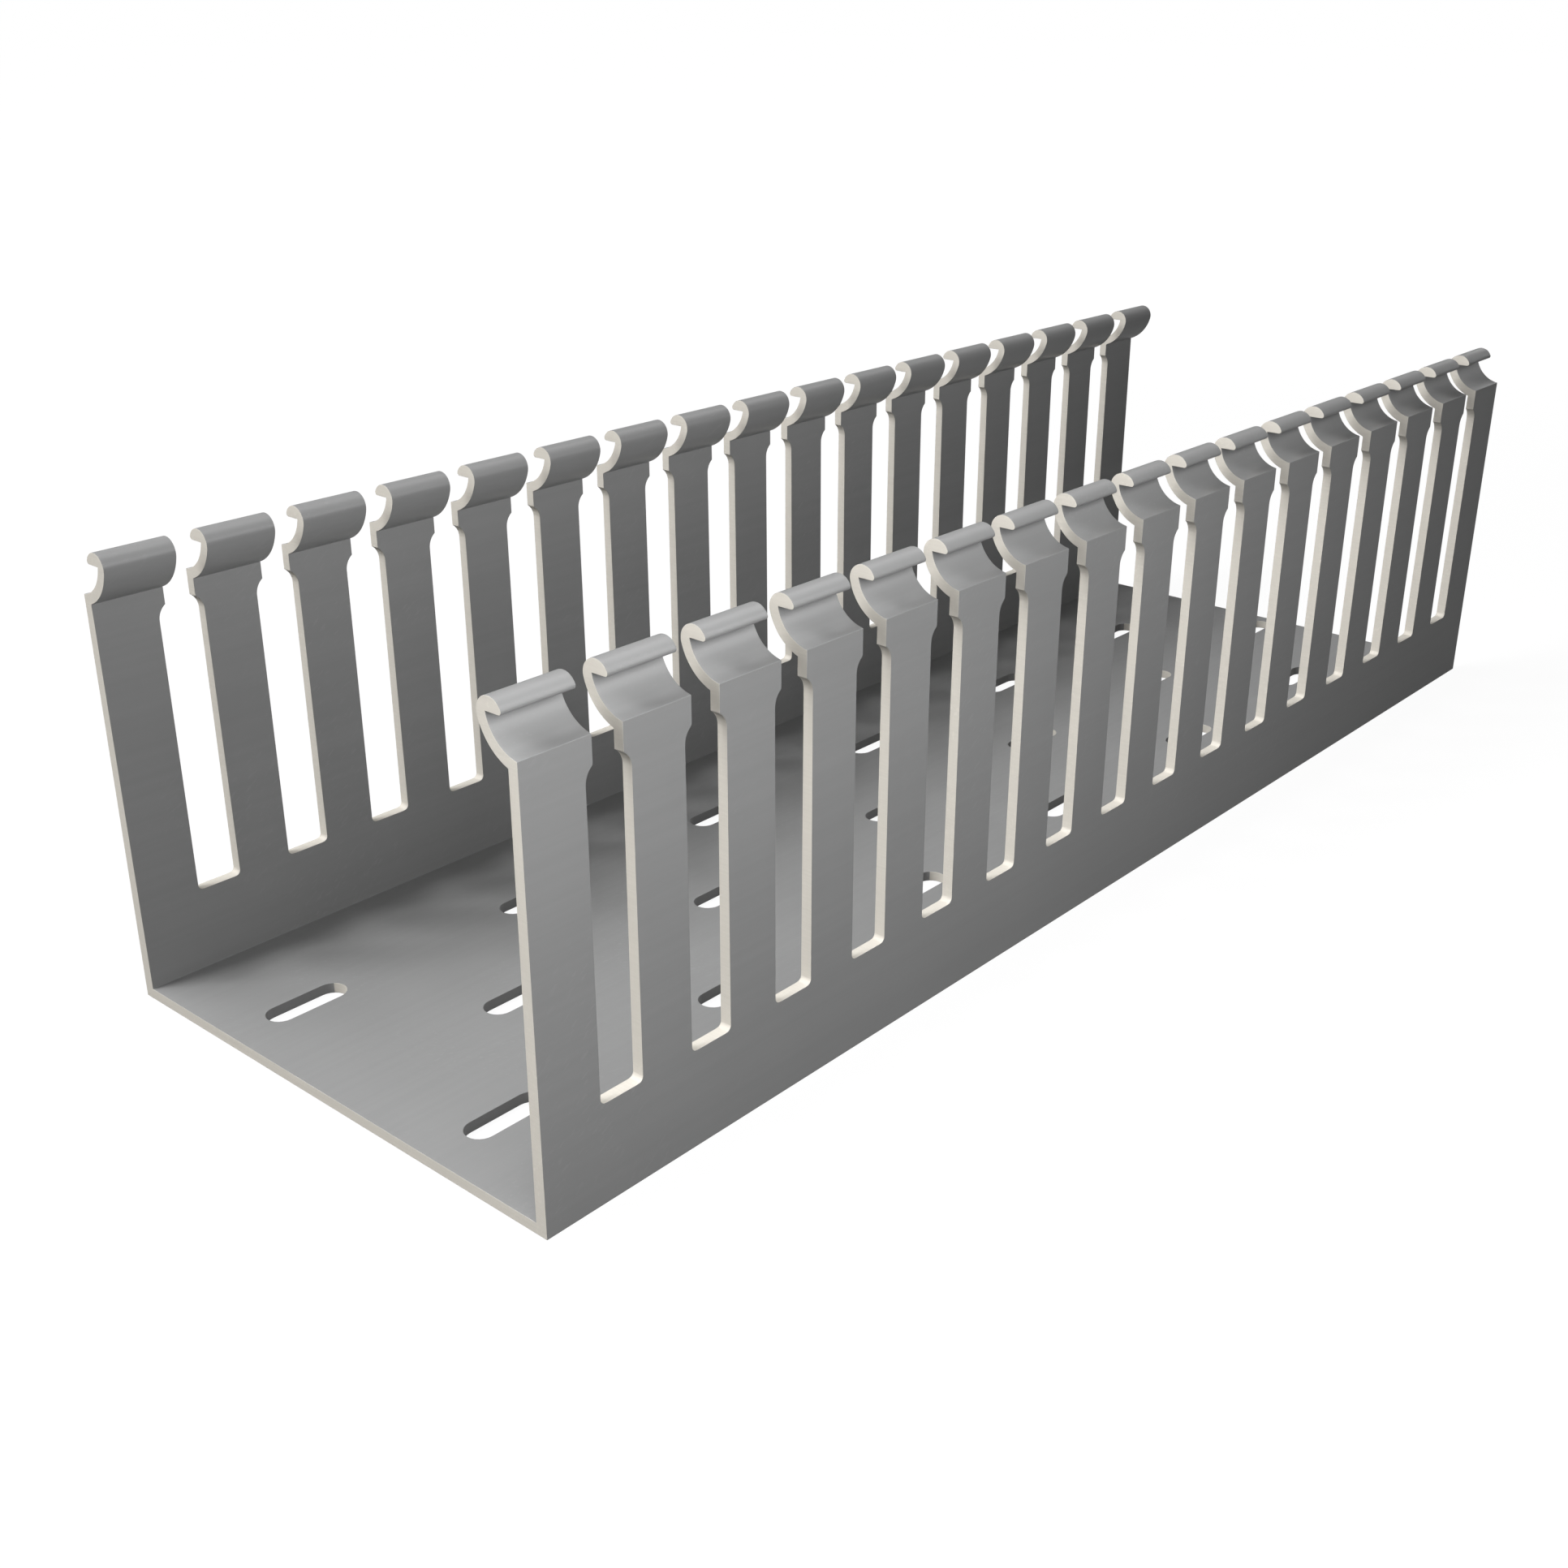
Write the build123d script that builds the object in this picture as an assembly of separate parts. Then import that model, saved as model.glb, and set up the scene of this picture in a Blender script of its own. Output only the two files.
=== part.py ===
from build123d import *
from math import sqrt
import os

# One cut length of slotted wiring duct, extruded in rigid plastic and then punched.
# It lies along X and stands on Z = 0; the origin is the middle of its underside.

# Extruded channel. The walls thin out towards the top; their outer faces are upright.
duct_length = 300.0
duct_width = 100.0
duct_height = 78.1
floor_thickness = 1.9
wall_base = 2.1
wall_top = 1.75

# Curled head along the top of each wall, which the cover clips over
curl_radius = 8.3  # surface facing into the duct
curl_offset = 1.0  # its centre lies this far outside the wall
curl_drop = 0.95  # and this far below the top
lip_radius = 2.4
lip_height = 2.15  # from the flat underside of the lip to its top
lip_tip_radius = 0.5

# Slots punched through both walls, open at the top by a gap between two heads
slot_count = 16
slot_pitch = 18.0
slot_width = 8.1
slot_base = 16.25
slot_top = 66.9
slot_base_radius = 0.9
slot_top_radius = 3.0
head_gap = 5.4

# Fixing slots punched through the floor, in two outer rows and a middle row
fixing_length = 15.0
fixing_width = 5.2
fixing_pitch = 50.0
fixing_count = 6
fixing_row_spacing = 25.0
fixing_start = 14.5  # from the end of the duct to the middle of the first outer slot
middle_row_shift = fixing_pitch / 2


def point_on_curl(radius, centre_x, centre_y):
    """A point about halfway along one of the curl's arcs, 45 degrees down and inwards."""
    step = radius / sqrt(2)
    return (centre_x - step, centre_y - step)


def half_section():
    """Half of the channel's section, from the middle of the floor to one curled head."""
    outside = duct_width / 2
    groove_radius = curl_radius - wall_top
    curl_x = outside + curl_offset
    curl_y = duct_height - curl_drop
    lip_y = duct_height - lip_radius
    lip_reach = curl_radius - lip_radius
    lip_x = curl_x - sqrt(lip_reach**2 - (curl_y - lip_y) ** 2)
    under_lip = duct_height - lip_height

    wall_end = (outside, curl_y - sqrt(groove_radius**2 - curl_offset**2))
    groove_middle = point_on_curl(groove_radius, curl_x, curl_y)
    groove_end = (curl_x - sqrt(groove_radius**2 - (curl_y - under_lip) ** 2), under_lip)
    lip_tip = (lip_x + sqrt(lip_radius**2 - (under_lip - lip_y) ** 2), under_lip)
    blend = curl_radius / lip_reach
    lip_end = (curl_x + (lip_x - curl_x) * blend, curl_y + (lip_y - curl_y) * blend)
    curl_middle = point_on_curl(curl_radius, curl_x, curl_y)
    crease = (outside - wall_top, curl_y - sqrt(curl_radius**2 - (curl_offset + wall_top) ** 2))
    floor_corner = (outside - wall_base, floor_thickness)

    with BuildSketch() as half:
        with BuildLine():
            Polyline((0, floor_thickness), (0, 0), (outside, 0), wall_end)
            ThreePointArc(wall_end, groove_middle, groove_end)
            Line(groove_end, lip_tip)
            ThreePointArc(lip_tip, (lip_x, duct_height), lip_end)
            ThreePointArc(lip_end, curl_middle, crease)
            Polyline(crease, floor_corner, (0, floor_thickness))
        make_face()
        fillet(half.vertices().sort_by_distance(lip_tip)[0], lip_tip_radius)
    return half.sketch


def wall_opening():
    """One wall slot, rounded at its four corners, and the gap above it."""
    gap_height = duct_height - slot_base
    with BuildSketch() as opening:
        with Locations((0, slot_base)):
            Rectangle(slot_width, slot_top - slot_base, align=(Align.CENTER, Align.MIN))
        corners = opening.vertices().group_by(Axis.Y)
        fillet(corners[0], slot_base_radius)
        fillet(corners[-1], slot_top_radius)
        with Locations((0, slot_base)):
            Rectangle(head_gap, gap_height, align=(Align.CENTER, Align.MIN))
    return opening.sketch


def fixing_positions():
    """Middle of every floor slot; the middle row lies half a pitch further along."""
    outer_start = fixing_start - duct_length / 2
    rows = (
        (-fixing_row_spacing, outer_start),
        (0, outer_start + middle_row_shift),
        (fixing_row_spacing, outer_start),
    )
    return [
        (start + index * fixing_pitch, row)
        for row, start in rows
        for index in range(fixing_count)
    ]


with BuildPart() as duct:
    # Extruded channel
    with BuildSketch(Plane.YZ):
        half = half_section()
        add(half)
        add(mirror(half, about=Plane.YZ))
    extrude(amount=duct_length / 2, both=True)

    # Wall slots, each punched through both walls
    with BuildSketch(Plane.XZ):
        with GridLocations(slot_pitch, 0, slot_count, 1):
            add(wall_opening())
    extrude(amount=duct_width, both=True, mode=Mode.SUBTRACT)

    # Fixing slots
    with BuildSketch(Plane.XY):
        with Locations(*fixing_positions()):
            SlotOverall(fixing_length, fixing_width)
    extrude(amount=floor_thickness, mode=Mode.SUBTRACT)

os.makedirs("parts", exist_ok=True)
export_step(duct.part, "parts/duct_base.step")
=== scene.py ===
"""Looks of a slotted wiring duct: the punched channel, and the studio that it lies in."""

import math
from typing import NamedTuple

import bmesh
import bpy
from bpy.props import (
    FloatProperty,
    FloatVectorProperty,
    IntProperty,
    PointerProperty,
)
from bpy.types import Operator, Panel, PropertyGroup
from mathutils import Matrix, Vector


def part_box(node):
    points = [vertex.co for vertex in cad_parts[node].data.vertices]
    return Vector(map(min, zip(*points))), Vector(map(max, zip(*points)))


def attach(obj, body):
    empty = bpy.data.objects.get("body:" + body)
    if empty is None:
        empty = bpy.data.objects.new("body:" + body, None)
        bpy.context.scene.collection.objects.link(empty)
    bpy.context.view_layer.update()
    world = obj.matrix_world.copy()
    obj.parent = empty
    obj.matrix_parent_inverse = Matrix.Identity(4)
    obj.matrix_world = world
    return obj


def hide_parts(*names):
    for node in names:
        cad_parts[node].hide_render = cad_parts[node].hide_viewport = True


bl_info = {
    "name": "Slotted Wiring Duct",
    "version": (1, 0, 0),
    "blender": (4, 5, 0),
    "location": "3D View > Sidebar > Wiring Duct",
    "description": "Builds a slotted wiring duct with curled heads and the studio that shows it",
    "category": "Add Mesh",
}

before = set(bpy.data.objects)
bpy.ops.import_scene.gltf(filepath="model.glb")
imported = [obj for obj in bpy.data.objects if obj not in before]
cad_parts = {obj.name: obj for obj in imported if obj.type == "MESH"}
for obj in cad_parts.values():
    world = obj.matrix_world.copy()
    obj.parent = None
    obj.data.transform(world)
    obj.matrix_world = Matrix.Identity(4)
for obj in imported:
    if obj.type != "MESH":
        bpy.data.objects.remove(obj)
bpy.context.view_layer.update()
LOW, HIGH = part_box("duct_base")

# The two plastics, by their place in the channel's list of materials
SKIN, CUT = 0, 1

# Straight steps that stand for each round
BASE_STEPS = 6
TOP_STEPS = 8
GROOVE_STEPS = 24
TIP_STEPS = 6
LIP_STEPS = 22
CURL_STEPS = 32
FIXING_STEPS = 12  # an even number, because the floor is divided at the middle of the round

# Points on the same step of a fine grid become one corner of the mesh
STEPS_PER_METRE = 1e7
GRID_STEP = 1e-7
DIGITS_KEPT = 9

ROUNDING_SEGMENTS = 2
ROUNDED_FROM = math.radians(35)
LARGE_FACES_LEAD = 100  # keeps the flat faces flat beside their rounded edges


def length_property(name, description, default):
    """A length in metres with the panel's usual settings."""
    return FloatProperty(
        name=name,
        description=description,
        default=default,
        min=0.0,
        precision=5,
        unit="LENGTH",
    )


def share_property(name, description, default):
    """A value from 0 to 1 that the panel shows as a slider."""
    return FloatProperty(
        name=name,
        description=description,
        default=default,
        min=0.0,
        max=1.0,
        subtype="FACTOR",
    )


def color_property(name, description, default):
    return FloatVectorProperty(
        name=name,
        description=description,
        default=default,
        size=4,
        min=0.0,
        max=1.0,
        subtype="COLOR",
    )


class DuctShape(PropertyGroup):
    """Sizes of the extruded channel and of what is punched out of it."""

    length: length_property("Length", "Cut length of the duct", HIGH.x - LOW.x)
    width: length_property("Width", "Width over both walls", HIGH.y - LOW.y)
    height: length_property("Height", "Height over the heads", HIGH.z - LOW.z)
    floor: length_property("Floor", "Thickness of the floor", 0.0019)
    wall_base: length_property("Wall base", "Wall thickness at the floor", 0.0021)
    wall_top: length_property("Wall top", "Wall thickness at the head", 0.00175)
    curl_radius: length_property("Curl radius", "Radius of the head's face into the duct", 0.0083)
    curl_offset: length_property("Curl offset", "Centre of the curl outside the wall", 0.0010)
    curl_drop: length_property("Curl drop", "Centre of the curl below the top", 0.00095)
    lip_radius: length_property("Lip radius", "Radius of the lip over the groove", 0.0024)
    lip_height: length_property("Lip height", "Lip from its flat underside to its top", 0.00215)
    lip_tip: length_property("Lip tip", "Rounding of the lip's outer corner", 0.0005)
    slot_pitch: length_property("Slot pitch", "From one wall slot to the next", 0.018)
    slot_width: length_property("Slot width", "Width of a wall slot", 0.0081)
    slot_base: length_property("Slot base", "Lower end of a wall slot", 0.01625)
    slot_top: length_property("Slot top", "Upper end of a wall slot", 0.0669)
    base_radius: length_property("Base radius", "Lower corners of a wall slot", 0.0009)
    top_radius: length_property("Top radius", "Upper corners of a wall slot", 0.003)
    head_gap: length_property("Head gap", "Gap between two heads", 0.0054)
    fixing_length: length_property("Fixing length", "Length of a floor slot", 0.015)
    fixing_width: length_property("Fixing width", "Width of a floor slot", 0.0052)
    fixing_pitch: length_property("Fixing pitch", "From one floor slot to the next", 0.050)
    row_spacing: length_property("Row spacing", "From one row of floor slots to the next", 0.025)
    fixing_start: length_property("Fixing start", "First floor slot from the duct's end", 0.0145)
    edge_rounding: length_property("Edge rounding", "Width of the rounding on every edge", 0.00007)
    slot_count: IntProperty(
        name="Slots",
        description="Slots in each wall",
        default=16,
        min=1,
    )
    fixing_count: IntProperty(
        name="Fixings",
        description="Floor slots in each row",
        default=6,
        min=1,
    )


class DuctFinish(PropertyGroup):
    """Colours and surface of the plastic."""

    skin_color: color_property(
        "Skin",
        "Colour of the extruded skin",
        (0.235, 0.236, 0.236, 1.0),
    )
    cut_color: color_property(
        "Cut",
        "Colour of the plastic where it was sawn or punched",
        (0.505, 0.480, 0.433, 1.0),
    )
    skin_roughness: share_property("Skin roughness", "Roughness of the extruded skin", 0.30)
    cut_roughness: share_property("Cut roughness", "Roughness of the sawn and punched faces", 0.62)
    gloss: share_property(
        "Gloss",
        "Strength of the plastic's reflections, where 0.5 is that of plain glass",
        0.2,
    )


class DuctStudio(PropertyGroup):
    """Camera, lamps and ground."""

    camera_place: FloatVectorProperty(
        name="Camera",
        description="Where the camera stands",
        default=(-0.282706, -0.209408, 0.157855),
        size=3,
        precision=5,
        subtype="TRANSLATION",
    )
    camera_turn: FloatProperty(
        name="Turn",
        description="Camera turned from +Y towards +X",
        default=0.85014,
        subtype="ANGLE",
    )
    camera_tilt: FloatProperty(
        name="Tilt",
        description="Camera tilted down from the horizon",
        default=0.41396,
        subtype="ANGLE",
    )
    lens: FloatProperty(
        name="Lens",
        description="Focal length on a sensor 36 mm wide",
        default=42.388,
        min=1.0,
    )
    ground_size: length_property("Ground", "Side of the pale ground", 8.0)
    ground_glow: share_property(
        "Ground glow",
        "Share of the ground's white that no shadow reaches",
        0.95,
    )
    reflected_white: share_property(
        "Reflected white",
        "Share of the white ground and sky that reflections see",
        0.3,
    )
    world_level: FloatProperty(
        name="Sky",
        description="Level of the even light from all round",
        default=0.02,
        min=0.0,
    )


class Welder:
    """Adds faces to a mesh by their corner points and shares every corner that is used twice."""

    def __init__(self):
        self.mesh = bmesh.new()
        self.corners = {}

    def corner(self, point):
        key = tuple(round(value * STEPS_PER_METRE) for value in point)
        if key not in self.corners:
            self.corners[key] = self.mesh.verts.new(point)
        return self.corners[key]

    def face(self, points, material):
        corners = []
        for point in points:
            corner = self.corner(point)
            if corner not in corners:
                corners.append(corner)
        face = self.mesh.faces.new(corners)
        face.material_index = material
        face.smooth = True

    def strip(self, one_side, other_side, material):
        """Four-sided faces between two rows of points that run side by side."""
        for a, b, next_a, next_b in zip(one_side, other_side, one_side[1:], other_side[1:]):
            self.face([a, b, next_b, next_a], material)

    def finish(self, name):
        bmesh.ops.recalc_face_normals(self.mesh, faces=self.mesh.faces)
        data = bpy.data.meshes.new(name)
        self.mesh.to_mesh(data)
        self.mesh.free()
        return data


def arc(centre, radius, start, end, steps):
    """Points on a circle from one angle to another, both ends included."""
    turn = (end - start) / steps
    return [
        (
            centre[0] + radius * math.cos(start + turn * step),
            centre[1] + radius * math.sin(start + turn * step),
        )
        for step in range(steps + 1)
    ]


def angle_to(centre, point):
    return math.atan2(point[1] - centre[1], point[0] - centre[0]) % math.tau


class DuctProfile:
    """Points of the channel's section and of a slot's outline, worked out from the sizes."""

    def __init__(self, shape):
        self.shape = shape
        self.outside = shape.width / 2
        self.curl = (self.outside + shape.curl_offset, shape.height - shape.curl_drop)
        reach = math.sqrt(shape.curl_radius**2 - (shape.curl_offset + shape.wall_top) ** 2)
        self.crease = (self.outside - shape.wall_top, self.curl[1] - reach)
        self.half_outline = self.slot_half_outline()
        self.neck = self.half_outline[-1][1]

    def inside(self, z):
        """Distance of the inner wall face from the middle, at height z."""
        shape = self.shape
        share = (z - shape.floor) / (self.crease[1] - shape.floor)
        base = self.outside - shape.wall_base
        return base + (self.crease[0] - base) * share

    def slot_half_outline(self):
        """One side of a wall slot as (distance from its middle, height), up to the gap."""
        shape = self.shape
        half = shape.slot_width / 2
        base = (half - shape.base_radius, shape.slot_base + shape.base_radius)
        top = (half - shape.top_radius, shape.slot_top - shape.top_radius)
        end = math.acos((shape.head_gap / 2 - top[0]) / shape.top_radius)
        corner = arc(base, shape.base_radius, -math.pi / 2, 0.0, BASE_STEPS)
        return corner + arc(top, shape.top_radius, 0.0, end, TOP_STEPS)

    def head(self):
        """The head's outline from the outer face at the neck, over the lip, to the inner face."""
        shape = self.shape
        curl = self.curl
        groove = shape.curl_radius - shape.wall_top
        under = shape.height - shape.lip_height
        wall_end = (self.outside, curl[1] - math.sqrt(groove**2 - shape.curl_offset**2))
        groove_end = (curl[0] - math.sqrt(groove**2 - (curl[1] - under) ** 2), under)

        lip_z = shape.height - shape.lip_radius
        reach = shape.curl_radius - shape.lip_radius
        lip = (curl[0] - math.sqrt(reach**2 - (curl[1] - lip_z) ** 2), lip_z)
        tip_z = under + shape.lip_tip
        tip_reach = shape.lip_radius - shape.lip_tip
        tip = (lip[0] + math.sqrt(tip_reach**2 - (lip[1] - tip_z) ** 2), tip_z)

        meets_lip = angle_to(lip, tip)
        meets_curl = angle_to(curl, lip)
        from_wall, to_lip = angle_to(curl, wall_end), angle_to(curl, groove_end)
        to_crease = angle_to(curl, self.crease)
        points = [(self.outside, self.neck)]
        points += arc(curl, groove, from_wall, to_lip, GROOVE_STEPS)
        points += arc(tip, shape.lip_tip, -math.pi / 2, meets_lip, TIP_STEPS)
        points += arc(lip, shape.lip_radius, meets_lip, meets_curl, LIP_STEPS)[1:]
        points += arc(curl, shape.curl_radius, meets_curl, to_crease, CURL_STEPS)[1:]
        points += [(self.inside(self.neck), self.neck)]
        return points


def slot_centres(shape):
    start = -(shape.slot_count - 1) / 2 * shape.slot_pitch
    return [start + index * shape.slot_pitch for index in range(shape.slot_count)]


def fingers(shape, half):
    """Both ends along X of every finger, at a height where a slot is 2 * half wide."""
    end = shape.length / 2
    centres = slot_centres(shape)
    lefts = [-end] + [centre + half for centre in centres]
    rights = [centre - half for centre in centres] + [end]
    return list(zip(lefts, rights))


def fixing_rows(shape):
    """Rows of floor slots from one wall to the other, as (row, middles along the duct)."""
    outer = shape.fixing_start - shape.length / 2
    rows = []
    for row, start in (
        (-shape.row_spacing, outer),
        (0.0, outer + shape.fixing_pitch / 2),
        (shape.row_spacing, outer),
    ):
        middles = [start + index * shape.fixing_pitch for index in range(shape.fixing_count)]
        rows.append((row, middles))
    return rows


def cell_bounds(shape, middles):
    """Where the floor is divided between the slots of one row."""
    half = shape.length / 2
    between = [(a + b) / 2 for a, b in zip(middles, middles[1:])]
    return [-half, *between, half]


def wall_columns(profile):
    """Where a wall's foot is divided: at its ends and at both lower corners of every slot."""
    end = profile.shape.length / 2
    foot = profile.half_outline[0][0]
    feet = [centre + hand * foot for centre in slot_centres(profile.shape) for hand in (-1, 1)]
    return [-end, *feet, end]


def inner_values(values, low, high):
    """Values that lie strictly between two limits, in order."""
    inner = {round(v, DIGITS_KEPT) for v in values if low + GRID_STEP < v < high - GRID_STEP}
    return sorted(inner)


def add_wall_face(weld, profile, side, bottom, face_y):
    """One upright face of a wall: its foot under the slots, and its fingers up to the neck."""
    shape = profile.shape
    outline = profile.half_outline
    base = outline[0][1]
    floor_bounds = cell_bounds(shape, fixing_rows(shape)[0][1])
    columns = wall_columns(profile)
    for left, right in zip(columns, columns[1:]):
        stops = [left, *inner_values(floor_bounds, left, right), right]
        points = [(x, side * face_y(bottom), bottom) for x in stops]
        points += [(x, side * face_y(base), base) for x in (right, left)]
        weld.face(points, SKIN)
    levels = [(z, fingers(shape, half)) for half, z in outline]
    for finger in range(shape.slot_count + 1):
        lefts = [(ends[finger][0], side * face_y(z), z) for z, ends in levels]
        rights = [(ends[finger][1], side * face_y(z), z) for z, ends in levels]
        weld.strip(lefts, rights, SKIN)


def add_heads(weld, profile, side):
    """Skin of a wall's heads, round from the outer face to the inner face."""
    head = profile.head()
    for left, right in fingers(profile.shape, profile.shape.head_gap / 2):
        lefts = [(left, side * y, z) for y, z in head]
        rights = [(right, side * y, z) for y, z in head]
        weld.strip(lefts, rights, SKIN)


def add_slot_cuts(weld, profile, side):
    """What the punch leaves in a wall: each slot's base and sides, and the ends of the heads."""
    outline = profile.half_outline
    foot, base = outline[0]
    gap = profile.shape.head_gap / 2
    head = profile.head()
    for centre in slot_centres(profile.shape):
        feet = (centre - foot, centre + foot)
        outer = [(x, side * profile.outside, base) for x in feet]
        inner = [(x, side * profile.inside(base), base) for x in feet]
        weld.strip(outer, inner, CUT)
        for hand in (-1, 1):
            flank = [(centre + hand * half, z) for half, z in outline]
            outer = [(x, side * profile.outside, z) for x, z in flank]
            inner = [(x, side * profile.inside(z), z) for x, z in flank]
            weld.strip(outer, inner, CUT)
            weld.face([(centre + hand * gap, side * y, z) for y, z in head], CUT)


def add_walls(weld, profile):
    """Both walls with their heads, and the faces that the wall slots leave."""
    for side in (-1, 1):
        add_wall_face(weld, profile, side, 0.0, lambda z: profile.outside)
        add_wall_face(weld, profile, side, profile.shape.floor, profile.inside)
        add_heads(weld, profile, side)
        add_slot_cuts(weld, profile, side)


def fixing_rim(shape, middle, row):
    """Outline of a floor slot: its round end towards +X, and then the other one."""
    radius = shape.fixing_width / 2
    reach = (shape.fixing_length - shape.fixing_width) / 2
    quarter = math.pi / 2
    right = arc((middle + reach, row), radius, -quarter, quarter, FIXING_STEPS)
    return right + arc((middle - reach, row), radius, quarter, 3 * quarter, FIXING_STEPS)


def add_fixing_cut(weld, shape, rim):
    """Faces through the floor at one slot; its long sides keep the colour of the skin."""
    for a, b in zip(rim, rim[1:] + rim[:1]):
        along = abs(b[0] - a[0]) >= abs(b[1] - a[1])
        weld.face(
            [(*a, 0.0), (*b, 0.0), (*b, shape.floor), (*a, shape.floor)],
            SKIN if along else CUT,
        )


def add_floor(weld, profile):
    """Top and underside of the floor, in a cell round each slot, and the slots' own faces."""
    shape = profile.shape
    rows = fixing_rows(shape)
    bounds = [cell_bounds(shape, middles) for _, middles in rows]
    half_row = shape.row_spacing / 2
    # The rim's points halfway round either end, where a cell is divided in two
    tip_right = FIXING_STEPS // 2
    tip_left = FIXING_STEPS + 1 + tip_right
    at_wall = wall_columns(profile)
    for z, edge in ((0.0, profile.outside), (shape.floor, profile.inside(shape.floor))):
        for index, (row, middles) in enumerate(rows):
            first, last = index == 0, index == len(rows) - 1
            low = -edge if first else row - half_row
            high = edge if last else row + half_row
            below = bounds[index] + (at_wall if first else bounds[index - 1])
            above = bounds[index] + (at_wall if last else bounds[index + 1])
            for middle, left, right in zip(middles, bounds[index], bounds[index][1:]):
                rim = fixing_rim(shape, middle, row)
                lower = rim[tip_left:] + rim[: tip_right + 1]
                upper = rim[tip_right : tip_left + 1]
                line = [left, *inner_values(below, left, right), right]
                points = [(x, low, z) for x in line] + [(right, row, z)]
                points += [(x, y, z) for x, y in reversed(lower)] + [(left, row, z)]
                weld.face(points, SKIN)
                line = [right, *reversed(inner_values(above, left, right)), left]
                points = [(x, high, z) for x in line] + [(left, row, z)]
                points += [(x, y, z) for x, y in reversed(upper)] + [(right, row, z)]
                weld.face(points, SKIN)
                if z == 0.0:
                    add_fixing_cut(weld, shape, rim)


def add_ends(weld, profile):
    """The two sawn ends, each the whole section."""
    shape = profile.shape
    rows = fixing_rows(shape)
    half_row = shape.row_spacing / 2
    levels = [z for _, z in profile.half_outline[:-1]]
    stops = sorted({row for row, _ in rows} | {row + half_row for row, _ in rows[:-1]})
    corner = profile.inside(shape.floor)
    wall = [(profile.outside, z) for z in levels] + profile.head()
    wall += [(profile.inside(z), z) for z in reversed(levels)]
    outline = [(y, 0.0) for y in (-profile.outside, *stops, profile.outside)]
    outline += wall + [(y, shape.floor) for y in (corner, *reversed(stops), -corner)]
    outline += [(-y, z) for y, z in reversed(wall)]
    for x in (-shape.length / 2, shape.length / 2):
        weld.face([(x, y, z) for y, z in outline], CUT)


def feed(tree, node, values):
    """Gives a node's inputs, by name or number, a value or the output of another node."""
    for key, value in values.items():
        if isinstance(value, bpy.types.NodeSocket):
            tree.links.new(value, node.inputs[key])
        else:
            node.inputs[key].default_value = value


def add_node(tree, kind, place, values=None, **settings):
    """A node at its place in the node editor, with its settings and inputs."""
    node = tree.nodes.new(kind)
    node.location = place
    for name, value in settings.items():
        setattr(node, name, value)
    feed(tree, node, values or {})
    return node


def add_math(tree, place, operation, *values):
    """Result of a Math node on up to three values or outputs of other nodes."""
    inputs = dict(enumerate(values))
    return add_node(tree, "ShaderNodeMath", place, inputs, operation=operation).outputs["Value"]


def spread_noise(tree, place, low, high, values):
    """Noise whose values from low to high are spread over 0 to 1."""
    noise = add_node(tree, "ShaderNodeTexNoise", place, values)
    spread = add_node(
        tree,
        "ShaderNodeMapRange",
        (place[0] + 250, place[1]),
        {"Value": noise.outputs["Fac"], "From Min": low, "From Max": high},
    )
    return spread.outputs["Result"]


def new_group(name, inputs, outputs):
    """An empty node group with its sockets, and the nodes that bring and take their values."""
    group = bpy.data.node_groups.new(name, "ShaderNodeTree")
    for label, default in inputs.items():
        kind = "NodeSocketFloat" if isinstance(default, float) else "NodeSocketVector"
        socket = group.interface.new_socket(name=label, in_out="INPUT", socket_type=kind)
        socket.default_value = default
    for label in outputs:
        group.interface.new_socket(name=label, in_out="OUTPUT", socket_type="NodeSocketFloat")
    given = add_node(group, "NodeGroupInput", (-950, 0))
    result = add_node(group, "NodeGroupOutput", (550, 0))
    return group, given.outputs, result


def drawn_grain_group():
    """Streaks along one direction, a soft cloud over them, and specks, as tools leave them."""
    name = "Drawn Grain"
    if name in bpy.data.node_groups:
        return bpy.data.node_groups[name]
    group, given, result = new_group(
        name,
        {
            "Vector": (0.0, 0.0, 0.0),
            "Stretch": (20.0, 3000.0, 3000.0),
            "Cloud Scale": 30.0,
            "Speck Scale": 4000.0,
        },
        ("Streak", "Cloud", "Speck"),
    )
    place = given["Vector"]
    stretched = add_node(
        group,
        "ShaderNodeVectorMath",
        (-450, 250),
        {0: place, 1: given["Stretch"]},
        operation="MULTIPLY",
    ).outputs["Vector"]
    noises = {
        "Streak": {"Vector": stretched, "Scale": 1.0, "Detail": 2.0, "Roughness": 0.6},
        "Cloud": {"Vector": place, "Scale": given["Cloud Scale"], "Detail": 4.0, "Roughness": 0.55},
        "Speck": {"Vector": place, "Scale": given["Speck Scale"], "Detail": 1.0},
    }
    for row, (output, values) in enumerate(noises.items()):
        spread = spread_noise(group, (-200, 250 - 250 * row), 0.3, 0.7, values)
        feed(group, result, {output: spread})
    return group


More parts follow.
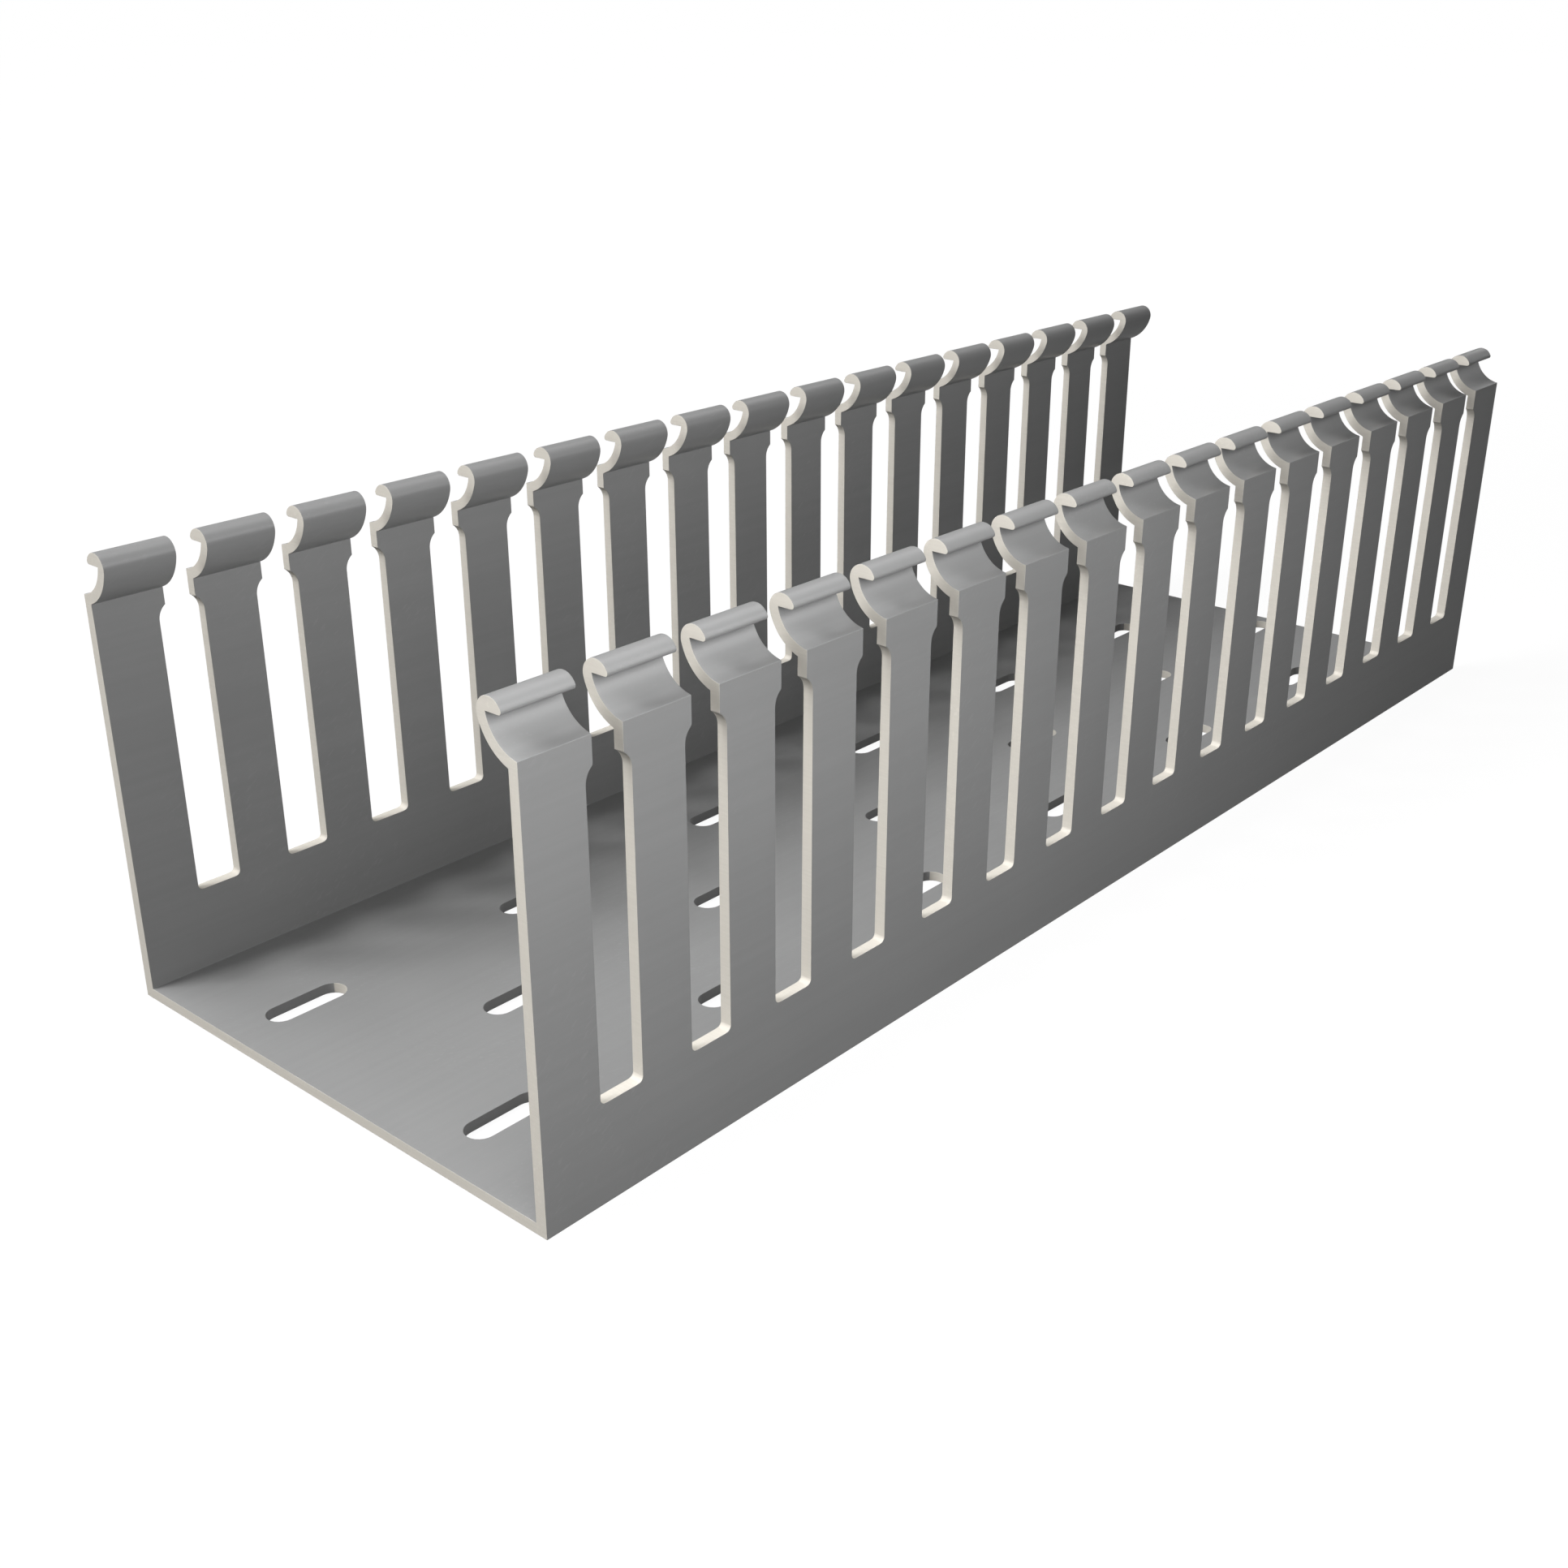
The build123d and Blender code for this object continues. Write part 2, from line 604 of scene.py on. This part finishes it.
def handling_scuff_group():
    """Short fine scuffs in loose patches, as handling and stacking leave on plastic."""
    name = "Handling Scuffs"
    if name in bpy.data.node_groups:
        return bpy.data.node_groups[name]
    group, given, result = new_group(
        name,
        {"Vector": (0.0, 0.0, 0.0), "Stretch": (60.0, 1800.0, 1800.0), "Patch Scale": 28.0},
        ("Scuff",),
    )
    place = given["Vector"]
    slanted = add_node(
        group,
        "ShaderNodeVectorRotate",
        (-700, 200),
        {"Vector": place, "Rotation": (0.3, 0.5, 0.4)},
        rotation_type="EULER_XYZ",
    )
    stretched = add_node(
        group,
        "ShaderNodeVectorMath",
        (-450, 200),
        {0: slanted.outputs["Vector"], 1: given["Stretch"]},
        operation="MULTIPLY",
    )
    lines = spread_noise(
        group,
        (-200, 200),
        0.6,
        0.72,
        {"Vector": stretched.outputs["Vector"], "Scale": 1.0, "Detail": 1.0},
    )
    patches = spread_noise(
        group,
        (-200, -100),
        0.45,
        0.62,
        {"Vector": place, "Scale": given["Patch Scale"], "Detail": 2.0},
    )
    feed(group, result, {"Scuff": add_math(group, (300, 0), "MULTIPLY", lines, patches)})
    return group


def new_material(name):
    """An empty material with its surface shader, and the object's own coordinates."""
    material = bpy.data.materials.new(name)
    material.use_nodes = True
    tree = material.node_tree
    tree.nodes.clear()
    shader = add_node(tree, "ShaderNodeBsdfPrincipled", (600, 0))
    add_node(tree, "ShaderNodeOutputMaterial", (900, 0), {"Surface": shader.outputs["BSDF"]})
    place = add_node(tree, "ShaderNodeTexCoord", (-900, 0)).outputs["Object"]
    return material, shader, place


class Grain(NamedTuple):
    """How far a surface strays from an even coat of its colour."""

    stretch: tuple  # streaks to the metre, across X, Y and Z
    contrast: float  # share of the colour, to either side
    rough_spread: float  # roughness to either side
    bump_strength: float
    bump_distance: float
    speck_height: float  # where the streaks' is 1


# The skin's roughness stays above 0.275: where it is less, cleaned renders show dark spots
SKIN_GRAIN = Grain(
    stretch=(6.0, 620.0, 620.0),
    contrast=0.045,
    rough_spread=0.024,
    bump_strength=0.15,
    bump_distance=0.00003,
    speck_height=0.4,
)
CUT_GRAIN = Grain(
    stretch=(2600.0, 60.0, 2600.0),
    contrast=0.05,
    rough_spread=0.08,
    bump_strength=0.3,
    bump_distance=0.00004,
    speck_height=0.6,
)
PLASTIC_IOR = 1.5
STREAK_SHARE = 0.5  # of the change in colour
CLOUD_SHARE = 0.5
SCUFF_CONTRASTS = 1.5  # how much paler a scuff is than the plain colour
SCUFF_ROUGHNESS = 0.015  # and how much rougher


def tinted(color, factor):
    """A colour made lighter or darker by a factor."""
    return [min(1.0, channel * factor) for channel in color[:3]] + [1.0]


def plastic_material(name, color, roughness, gloss, grain):
    """Rigid plastic with drawn grain and scuffs in its colour, roughness and relief."""
    material, shader, place = new_material(name)
    tree = material.node_tree
    drawn = add_node(
        tree,
        "ShaderNodeGroup",
        (-650, 0),
        {"Vector": place, "Stretch": grain.stretch},
        node_tree=drawn_grain_group(),
    ).outputs
    streak, cloud, speck = drawn["Streak"], drawn["Cloud"], drawn["Speck"]
    scuff = add_node(
        tree,
        "ShaderNodeGroup",
        (-650, 450),
        {"Vector": place},
        node_tree=handling_scuff_group(),
    ).outputs["Scuff"]

    cloud_part = add_math(tree, (-500, 120), "MULTIPLY", cloud, CLOUD_SHARE)
    blend = add_math(tree, (-350, 250), "MULTIPLY_ADD", streak, STREAK_SHARE, cloud_part)
    tone = add_node(
        tree,
        "ShaderNodeMix",
        (-100, 250),
        {
            "Factor": blend,
            "A": tinted(color, 1.0 - grain.contrast),
            "B": tinted(color, 1.0 + grain.contrast),
        },
        data_type="RGBA",
    )
    worn = add_node(
        tree,
        "ShaderNodeMix",
        (250, 250),
        {
            "Factor": scuff,
            "A": tone.outputs["Result"],
            "B": tinted(color, 1.0 + SCUFF_CONTRASTS * grain.contrast),
        },
        data_type="RGBA",
    )
    rough = add_node(
        tree,
        "ShaderNodeMapRange",
        (-100, 0),
        {
            "Value": cloud,
            "To Min": roughness - grain.rough_spread,
            "To Max": roughness + grain.rough_spread,
        },
    )
    rough_level = rough.outputs["Result"]
    rubbed = add_math(tree, (250, 0), "MULTIPLY_ADD", scuff, SCUFF_ROUGHNESS, rough_level)
    relief = add_math(tree, (-100, -250), "MULTIPLY_ADD", speck, grain.speck_height, streak)
    bump = add_node(
        tree,
        "ShaderNodeBump",
        (250, -250),
        {
            "Strength": grain.bump_strength,
            "Distance": grain.bump_distance,
            "Height": relief,
        },
    )
    feed(
        tree,
        shader,
        {
            "Base Color": worn.outputs["Result"],
            "Roughness": rubbed,
            "IOR": PLASTIC_IOR,
            "Specular IOR Level": gloss,
            "Normal": bump.outputs["Normal"],
        },
    )
    return material


class MESH_OT_wiring_duct(Operator):
    """Build the duct's channel with its slots and heads, and give it its plastic"""

    bl_idname = "mesh.wiring_duct"
    bl_label = "Wiring Duct"
    bl_options = {"REGISTER", "UNDO"}

    def execute(self, context):
        shape = context.scene.duct_shape
        finish = context.scene.duct_finish
        profile = DuctProfile(shape)
        weld = Welder()
        add_walls(weld, profile)
        add_floor(weld, profile)
        add_ends(weld, profile)
        loose = [edge for edge in weld.mesh.edges if len(edge.link_faces) != 2]
        if loose:
            raise RuntimeError(f"the duct isn't closed: {len(loose)} edges lack a second face")
        duct = bpy.data.objects.new("duct_channel", weld.finish("duct_channel"))
        context.scene.collection.objects.link(duct)
        # In the order of SKIN and CUT
        for name, color, roughness, grain in (
            ("Extruded skin", finish.skin_color, finish.skin_roughness, SKIN_GRAIN),
            ("Cut plastic", finish.cut_color, finish.cut_roughness, CUT_GRAIN),
        ):
            plastic = plastic_material(name, color, roughness, finish.gloss, grain)
            duct.data.materials.append(plastic)
        rounding = duct.modifiers.new("Edge rounding", "BEVEL")
        rounding.width = shape.edge_rounding
        rounding.segments = ROUNDING_SEGMENTS
        rounding.limit_method = "ANGLE"
        rounding.angle_limit = ROUNDED_FROM
        rounding.use_clamp_overlap = False
        shading = duct.modifiers.new("Shading", "WEIGHTED_NORMAL")
        shading.mode = "FACE_AREA"
        shading.weight = LARGE_FACES_LEAD
        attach(duct, "root")
        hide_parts("duct_base")
        return {"FINISHED"}


WHITE = (1.0, 1.0, 1.0, 1.0)
GROUND_COLOR = (0.06, 0.06, 0.06, 1.0)
GROUND_ROUGHNESS = 0.9
GROUND_DROP = 0.0001  # below the duct's underside
SHADOW_FADES = (0.25, 0.9)  # from where to where, out from the middle of the ground
SENSOR_WIDTH = 36.0  # millimetres
NEAR_CLIP = 0.01


def seen_white(tree, reflected):
    """Level of the white backdrop: full to the camera and through glass, a share in reflections."""
    rays = add_node(tree, "ShaderNodeLightPath", (-900, -450)).outputs
    share = add_math(tree, (-700, -600), "MULTIPLY", rays["Is Glossy Ray"], reflected)
    straight = (rays["Is Camera Ray"], rays["Is Transmission Ray"])
    direct = add_math(tree, (-700, -400), "MAXIMUM", *straight)
    return add_math(tree, (-450, -450), "MAXIMUM", direct, share)


def ground_material(glow, reflected):
    """Pale ground that is white to the camera apart from the duct's own shadow."""
    material, shader, place = new_material("Ground")
    tree = material.node_tree
    distance = add_node(
        tree,
        "ShaderNodeVectorMath",
        (-650, -200),
        {0: place},
        operation="LENGTH",
    )
    fade = add_node(
        tree,
        "ShaderNodeMapRange",
        (-400, -200),
        {
            "Value": distance.outputs["Value"],
            "From Min": SHADOW_FADES[0],
            "From Max": SHADOW_FADES[1],
            "To Min": glow,
            "To Max": 1.0,
        },
        interpolation_type="SMOOTHSTEP",
    )
    white = seen_white(tree, reflected)
    strength = add_math(tree, (-150, -300), "MULTIPLY", fade.outputs["Result"], white)
    feed(
        tree,
        shader,
        {
            "Base Color": GROUND_COLOR,
            "Roughness": GROUND_ROUGHNESS,
            "Specular IOR Level": 0.0,
            "Emission Color": WHITE,
            "Emission Strength": strength,
        },
    )
    return material


def add_world(context, level, reflected):
    """Even light from all round, white where the camera sees it."""
    world = bpy.data.worlds.new("Studio")
    context.scene.world = world
    world.use_nodes = True
    tree = world.node_tree
    tree.nodes.clear()
    light = add_node(
        tree,
        "ShaderNodeMapRange",
        (-200, 0),
        {"Value": seen_white(tree, reflected), "To Min": level, "To Max": 1.0},
    )
    background = add_node(
        tree,
        "ShaderNodeBackground",
        (50, 0),
        {"Color": WHITE, "Strength": light.outputs["Result"]},
    )
    surface = background.outputs["Background"]
    add_node(tree, "ShaderNodeOutputWorld", (300, 0), {"Surface": surface})


class SoftBox(NamedTuple):
    """A rectangular lamp, and the spot on the duct that it points at."""

    name: str
    place: tuple
    aim: tuple
    size: tuple
    power: float
    card: bool = False  # lights nothing, and only shows in reflections


LAMPS = (
    SoftBox("Left", (-0.805, 0.369, 0.778), (-0.1, 0.04, 0.0), (0.42, 0.42), 12.0),
    SoftBox("Left low", (-1.70, 0.0, 0.60), (-0.1, 0.0, 0.05), (0.8, 0.5), 3.7),
    SoftBox("Right low", (1.70, 0.05, 0.20), (0.1, 0.0, 0.05), (0.8, 0.4), 5.5),
    SoftBox("Back left", (-0.367, 0.421, 0.997), (-0.1, 0.04, 0.0), (0.38, 0.38), 5.6),
    SoftBox("Back", (-0.155, 0.669, 0.901), (-0.1, 0.04, 0.0), (0.38, 0.38), 1.2),
    SoftBox("Front", (-0.17, -0.20, 0.125), (-0.1, -0.03, 0.05), (0.3, 0.06), 0.315),
    SoftBox("Front high", (-0.10, -0.15, 0.15), (-0.1, -0.03, 0.05), (0.3, 0.04), 0.175),
    SoftBox("Front card", (0.35, -1.0, 0.60), (0.0, 0.0, 0.08), (1.2, 1.0), 13.0, card=True),
    SoftBox("Top card", (0.70, -0.1, 1.20), (0.0, 0.0, 0.08), (1.0, 0.8), 5.0, card=True),
)


def add_lamp(context, box):
    light = bpy.data.lights.new(box.name, "AREA")
    light.shape = "RECTANGLE"
    light.size, light.size_y = box.size
    light.energy = box.power
    lamp = bpy.data.objects.new(box.name, light)
    lamp.visible_camera = False
    lamp.visible_diffuse = not box.card
    lamp.location = box.place
    direction = Vector(box.aim) - Vector(box.place)
    lamp.rotation_euler = direction.to_track_quat("-Z", "Y").to_euler()
    context.scene.collection.objects.link(lamp)


def add_ground(context, studio):
    weld = Welder()
    half = studio.ground_size / 2
    corners = ((-half, -half), (half, -half), (half, half), (-half, half))
    weld.face([(x, y, -GROUND_DROP) for x, y in corners], 0)
    ground = bpy.data.objects.new("ground", weld.finish("ground"))
    ground.data.materials.append(ground_material(studio.ground_glow, studio.reflected_white))
    context.scene.collection.objects.link(ground)


def add_camera(context, studio):
    data = bpy.data.cameras.new("Camera")
    data.sensor_width = SENSOR_WIDTH
    data.lens = studio.lens
    data.clip_start = NEAR_CLIP
    camera = bpy.data.objects.new("Camera", data)
    camera.location = studio.camera_place
    camera.rotation_euler = (math.pi / 2 - studio.camera_tilt, 0.0, -studio.camera_turn)
    context.scene.collection.objects.link(camera)
    context.scene.camera = camera


class SCENE_OT_duct_studio(Operator):
    """Set up the pale ground, the soft light and the camera"""

    bl_idname = "scene.duct_studio"
    bl_label = "Studio"
    bl_options = {"REGISTER", "UNDO"}

    def execute(self, context):
        studio = context.scene.duct_studio
        add_ground(context, studio)
        add_world(context, studio.world_level, studio.reflected_white)
        for box in LAMPS:
            add_lamp(context, box)
        add_camera(context, studio)
        context.scene.view_settings.view_transform = "Standard"
        return {"FINISHED"}


class VIEW3D_PT_wiring_duct(Panel):
    """Lists the duct's pieces and their sizes"""

    bl_idname = "VIEW3D_PT_wiring_duct"
    bl_label = "Wiring Duct"
    bl_space_type = "VIEW_3D"
    bl_region_type = "UI"
    bl_category = "Wiring Duct"

    def draw(self, context):
        layout = self.layout
        for operator, settings in (
            (MESH_OT_wiring_duct, ("duct_shape", "duct_finish")),
            (SCENE_OT_duct_studio, ("duct_studio",)),
        ):
            box = layout.box()
            box.operator(operator.bl_idname)
            for group in settings:
                values = getattr(context.scene, group)
                for name in values.__annotations__:
                    box.prop(values, name)


CLASSES = (
    DuctShape,
    DuctFinish,
    DuctStudio,
    MESH_OT_wiring_duct,
    SCENE_OT_duct_studio,
    VIEW3D_PT_wiring_duct,
)


def register():
    for cls in CLASSES:
        bpy.utils.register_class(cls)
    bpy.types.Scene.duct_shape = PointerProperty(type=DuctShape)
    bpy.types.Scene.duct_finish = PointerProperty(type=DuctFinish)
    bpy.types.Scene.duct_studio = PointerProperty(type=DuctStudio)


def unregister():
    del bpy.types.Scene.duct_studio
    del bpy.types.Scene.duct_finish
    del bpy.types.Scene.duct_shape
    for cls in reversed(CLASSES):
        bpy.utils.unregister_class(cls)


def main():
    """Builds the pieces in order."""
    register()
    bpy.ops.scene.duct_studio()
    bpy.ops.mesh.wiring_duct()


if __name__ == "__main__":
    main()
